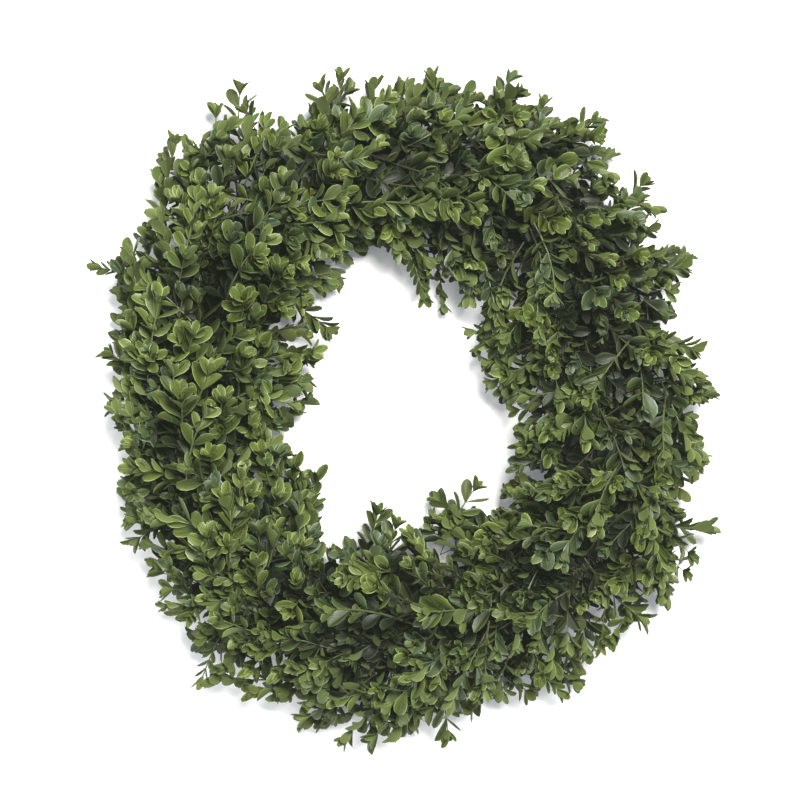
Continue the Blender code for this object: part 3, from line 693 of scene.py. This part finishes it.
def aim_sprig(sprig, reach, angle, turn, depth, stand_up, tone):
    """A sprig whose tip ends at the foliage's edge, or so deep inside it, and where its base is."""
    ahead = Vector((math.sin(angle), -math.cos(angle), 0))
    face = Vector((math.cos(turn) * math.cos(angle), math.cos(turn) * math.sin(angle), math.sin(turn)))
    across = face.cross(ahead)
    edge = abs(math.cos(turn))
    swing = size_swing * math.cos(angle - math.radians(largest_at_deg))
    size = draw.uniform(*sprig_sizes) * (mean_size + swing)
    tip = on_section(angle, turn, leaf_reach(angle, turn) * depth)
    depth *= 1 - hollow_depth * hollow_share(tip)
    tip = on_section(angle, turn, leaf_reach(angle, turn) * depth)
    lowest, highest = (rise + more * edge for rise, more in zip(rise_deg, edge_rise_deg))
    for tried in range(tries):
        side = math.radians(draw.gauss(0, side_spread_deg))
        rise = math.radians(draw.uniform(lowest, highest) + stand_up * (1 - 0.6 * edge))
        along = (ahead * math.cos(side) + across * math.sin(side)) * math.cos(rise) + face * math.sin(rise)
        along_it = [tip - along * reach.length * size * share for share in looked_at]
        if any(hollow_share(place) > bare_share and depth_of(place) > bare_above for place in along_it):
            continue
        laid = lay_sprig(sprig, reach, tip, along, face, size, tone, base_within * depth)
        if laid:
            return laid
    return None


def cover(tie, plan):
    """The sprigs of a bunch that show, with their tips spread across its row and along the ring."""
    low_turn, high_turn = plan["turns"]
    shallow, full = plan["depths"]
    laid = []
    for k in range(plan["across"] * plan["along"]):
        turn_deg = low_turn + (high_turn - low_turn) * (k % plan["across"] + draw.random()) / plan["across"]
        turn = math.radians(turn_deg)
        along = leaves_run * (k // plan["across"] + draw.random()) / plan["along"]
        angle = (tie - leaves_start - along) * tie_pitch
        kind = draw.choices(kinds, kind_shares)[0]
        sprig, reach = draw.choice(sprigs_by_kind[kind])
        stand_up = stand_up_deg if kind == "standing" else 0
        # Sprigs low at the foot of the wreath, near the table, are darkened: painted shade.
        low = max(0.0, 1 - math.sin(turn) * foot_height)
        swing = tone_swing * math.cos(angle - math.radians(lightest_at_deg))
        tone = (draw.gauss(mean_tone + swing - foot_shade * low, tone_spread), draw.uniform(*freshness))
        fuller = 0.12 * max(0.0, abs(math.cos(turn)) - 0.9) / 0.1
        depth = draw.uniform(shallow + fuller, full)
        laid.append(aim_sprig(sprig, reach, angle, turn, depth, stand_up, tone))
    return laid


def fill(tie, plan):
    """The sprigs deep in a bunch, which have fewer and older leaves, darkened with painted shade the deeper
    they lie.
    """
    low_turn, high_turn = plan["turns"]
    lowest, highest = deep_turns_deg
    laid = []
    for k in range(plan["deep"]):
        turn = math.radians(min(highest, max(lowest, draw.uniform(low_turn, high_turn))))
        angle = (tie - leaves_start - deep_run * (k + draw.random()) / plan["deep"]) * tie_pitch
        sprig, reach = draw.choice(inner_sprigs)
        depth = draw.uniform(*deep_depths)
        # Deep sprigs are darkened the deeper they lie: painted shade, on top of their older colour.
        tone = (deep_shade_tone - deep_shade_darker * (deep_depths[1] - depth), draw.uniform(*deep_freshness))
        laid.append(aim_sprig(sprig, reach, angle, turn, depth, 0, tone))
    return laid


def stand_out(row, tie):
    """The single shoots of a bunch."""
    laid = []
    for angle_deg, radius, pointing_deg, tip_height, kind in single_shoots:
        in_row = row == ("outer" if radius > frame_radius else "inner")
        if not in_row or math.ceil(angle_deg % 360 / math.degrees(tie_pitch)) % tie_count != tie:
            continue
        tip = at(math.radians(angle_deg), radius - frame_radius, tip_height)
        pointing = math.radians(pointing_deg)
        along = Vector((math.cos(pointing), math.sin(pointing), single_rise)).normalized()
        sprig, reach = draw.choice(fine_sprigs if kind == "fine" else lying_sprigs)
        laid.append(lay_sprig(sprig, reach, tip, along, Vector((0, 0, 1)), single_size, single_shade_tone))
    return laid


def carry(tie, plan, laid):
    """The woody stems that are bound to the frame, and the twigs from them to the sprigs."""
    offset, height = plan["stem"]
    stem_tip = at((tie - stem_end) * tie_pitch, offset, height + stem_rise)
    twigs, stems = [], []
    for copy, base, along in laid:
        start = stem_tip.lerp(at((tie - 0.3) * tie_pitch, offset, height), draw.random())
        knees = [(start + base) / 2 - Vector((0, 0, twig_sag)), base - along * twig_bend]
        for knee in knees:
            knee.z = max(knee.z, twig_lowest)
        twigs.append([start, *knees, base])
    for side in (-stem_gap, 0.0, stem_gap):
        stems.append([at((tie + draw.uniform(*tail_lengths)) * tie_pitch, offset + side, height),
                      at((tie - 0.25) * tie_pitch, offset + side, height),
                      at((tie - 0.5) * tie_pitch, offset + side, height),
                      stem_tip + Vector((draw.uniform(-stem_stray, stem_stray),
                                         draw.uniform(-stem_stray, stem_stray), 0))])
    branches = bend_wires("twigs", twigs, twig_thick, 4, taper=0.8, smooth=False)
    woody = bend_wires("stems", stems, stem_thick, 6, taper=0.8)
    for part, young in ((branches, twig_age), (woody, stem_age)):
        part.data.materials.append(bark)
        mark_growth(part.data, young, 0.5)
    return [branches, woody]


for row, plan in rows.items():
    for tie in range(tie_count):
        draw.seed(f"{row} bunch {tie + 1}")
        laid = [one for one in cover(tie, plan) + fill(tie, plan) + stand_out(row, tie) if one]
        pieces = [copy for copy, base, along in laid] + carry(tie, plan, laid)
        bunch = join_pieces(f"boxwood_{row}_{tie + 1:02d}", pieces)
        age_and_shade_by_depth(bunch.data)
        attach(bunch, "root")
        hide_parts(f"bunch_{row}_{tie + 1:02d}")

all_sprigs = lying_sprigs + standing_sprigs + fine_sprigs + inner_sprigs
for template in [*leaf_forms.values(), *(sprig for sprig, reach in all_sprigs)]:
    bpy.data.objects.remove(template)

# The binding wire. One length of thin green lacquered steel wire is pulled tight three times round the
# frame and the stems at each tie, and carried on to the next one low at the hole's side.

binding_diameter = 0.0009
turns_at_tie, turn_advance = 3, 0.0075
wrap_slack = 0.0003
wrap_under = ring_height - frame_wire / 2 - 0.0006
half_turn = [(0.0110, wrap_under), (0.0297, 0.0108), (0.0310, 0.0222), (0.0142, 0.0258)]
other_half = [(-offset, height) for offset, height in half_turn]
full_turn = [other_half[1], other_half[0], *half_turn, other_half[3], other_half[2]]
route = []
for tie in range(tie_count):
    for turn in range(turns_at_tie):
        for k, (offset, height) in enumerate(full_turn):
            angle = tie * tie_pitch + (turn + k / len(full_turn) - turns_at_tie / 2) * turn_advance
            route.append(at(angle, offset + draw.uniform(0, wrap_slack), height))
binding = bend_wires("binding_wire_wraps", [route], binding_diameter, 6, smooth=False)
lacquer = bpy.data.materials.new("wire_lacquer_green")
lacquer.use_nodes = True
nodes, links = lacquer.node_tree.nodes, lacquer.node_tree.links
gloss = nodes["Principled BSDF"]
gloss.inputs["Metallic"].default_value = 0.3
gloss.inputs["Roughness"].default_value = 0.32
streaks = nodes.new("ShaderNodeTexNoise")
where = nodes.new("ShaderNodeTexCoord")
streaks.inputs["Scale"].default_value = 220.0
links.new(where.outputs["Object"], streaks.inputs["Vector"])
links.new(blend_colours(streaks.outputs["Fac"], (0.012, 0.045, 0.022, 1), (0.035, 0.105, 0.055, 1)),
          gloss.inputs["Base Color"])
binding.data.materials.append(lacquer)
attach(binding, "root")
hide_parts("binding_wire")

# The table that the wreath lies on. It is one large, plain sheet, almost white and matt, with a faint
# painted glow of its own, so that hardly a shadow shows.

table_side = 6.0
bpy.ops.mesh.primitive_plane_add(size=table_side, location=(0, 0, 0))
table = bpy.context.object
table.name = "pale_table"
table_white = bpy.data.materials.new("table_white")
table_white.use_nodes = True
top = table_white.node_tree.nodes["Principled BSDF"]
top.inputs["Base Color"].default_value = (0.93, 0.93, 0.93, 1)
top.inputs["Roughness"].default_value = 0.8
top.inputs["Specular IOR Level"].default_value = 0.1
# Painted light: the table's faint bluish glow lightens and blues the shadows on it, and lights the wreath a
# little from below.
top.inputs["Emission Color"].default_value = (0.86, 0.92, 1.0, 1)
top.inputs["Emission Strength"].default_value = 0.14
table.data.materials.append(table_white)

# The light. A wide soft box hangs above and to the upper right, a weak one stands low at the other side, and
# the walls of a white room glow all round.


def hang_light(name, place, energy, width, depth, colour):
    """A soft light with a flat white front, turned to the wreath."""
    bpy.ops.object.light_add(type="AREA", location=place)
    light = bpy.context.object
    light.name = name
    light.data.shape = "RECTANGLE"
    light.data.size = width
    light.data.size_y = depth
    light.data.color = colour
    light.data.energy = energy
    light.rotation_euler = (Vector((0, 0, 0)) - light.location).to_track_quat("-Z", "Y").to_euler()


hang_light("soft_box", (0.40, 0.64, 1.8), 88.0, 0.8, 0.6, (1.0, 0.975, 0.93))
hang_light("soft_fill", (-1.1, -0.7, 0.75), 11.0, 0.9, 0.9, (1.0, 1.0, 1.0))
room = bpy.data.worlds.new("white_room")
bpy.context.scene.world = room
room.use_nodes = True
walls = room.node_tree.nodes["Background"]
walls.inputs["Color"].default_value = (0.94, 0.97, 1.0, 1)
walls.inputs["Strength"].default_value = 0.38

# The camera. It looks straight down on the wreath, with the wreath's top at the top of the picture, through
# a long lens. The film is a little fogged, so that the darkest gaps aren't quite black.

picture_width = 0.72
sight_height = 0.055
lens, sensor = 70.0, 36.0
aim_right, aim_up = -0.0036, 0.0027
bpy.ops.object.camera_add(location=(frame_middle.x + aim_right, frame_middle.y + aim_up,
                                    sight_height + picture_width * lens / sensor), rotation=(0, 0, 0))
camera = bpy.context.object
camera.data.lens = lens
camera.data.sensor_width = sensor
bpy.context.scene.camera = camera
bpy.context.scene.view_settings.view_transform = "Standard"
bpy.context.scene.view_settings.use_curve_mapping = True
film = bpy.context.scene.view_settings.curve_mapping
film.black_level = (-0.0108, -0.0132, -0.0096)
film.update()
